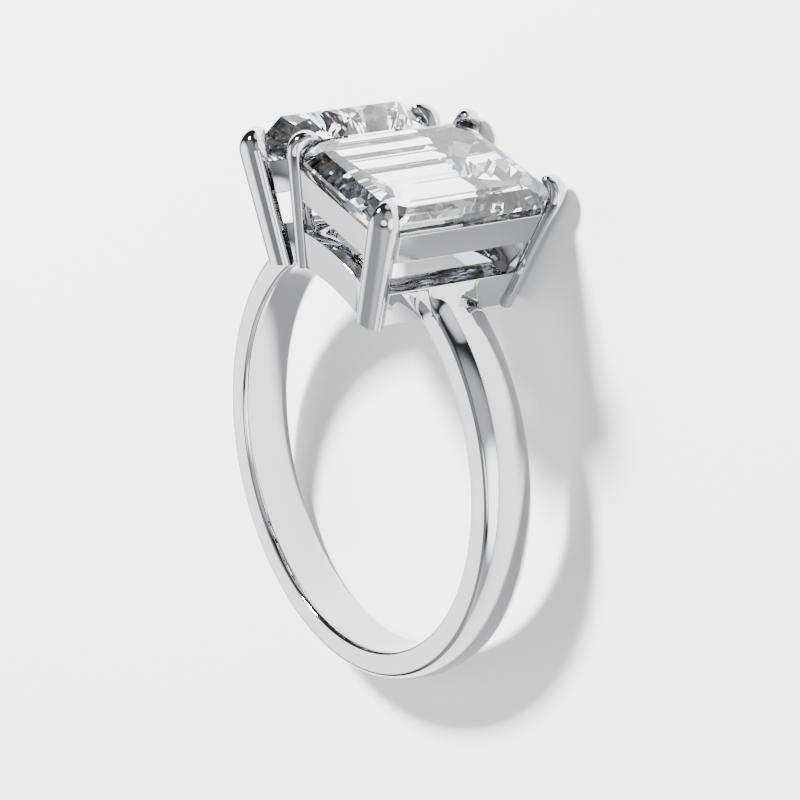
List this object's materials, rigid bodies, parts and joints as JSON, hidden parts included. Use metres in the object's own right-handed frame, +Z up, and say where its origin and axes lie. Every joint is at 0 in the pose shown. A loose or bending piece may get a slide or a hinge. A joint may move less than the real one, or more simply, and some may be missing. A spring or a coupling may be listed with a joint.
{
  "type": "pear cut ring with a second, emerald cut stone",
  "caption": "Polished white metal ring with an emerald cut and a pear cut clear stone side by side in claw baskets that lean apart, lying on its side as it rests.",
  "frame": {"origin": "on the surface the ring lies on, below the middle of its outline", "axes": "+Z up from that surface, close to the finger's axis; +Y from the back of the band towards the stones; +X across the ring, from the pear cut towards the emerald cut"},
  "size_m": [0.0198, 0.0246, 0.0096],
  "materials": {
    "white_metal": "mirror polished white metal",
    "clear_stone": "polished facets, colourless"
  },
  "bodies": {
    "root": {"band_and_baskets": "white_metal", "emerald_stone": "clear_stone", "pear_stone": "clear_stone"}
  },
  "joints": []
}
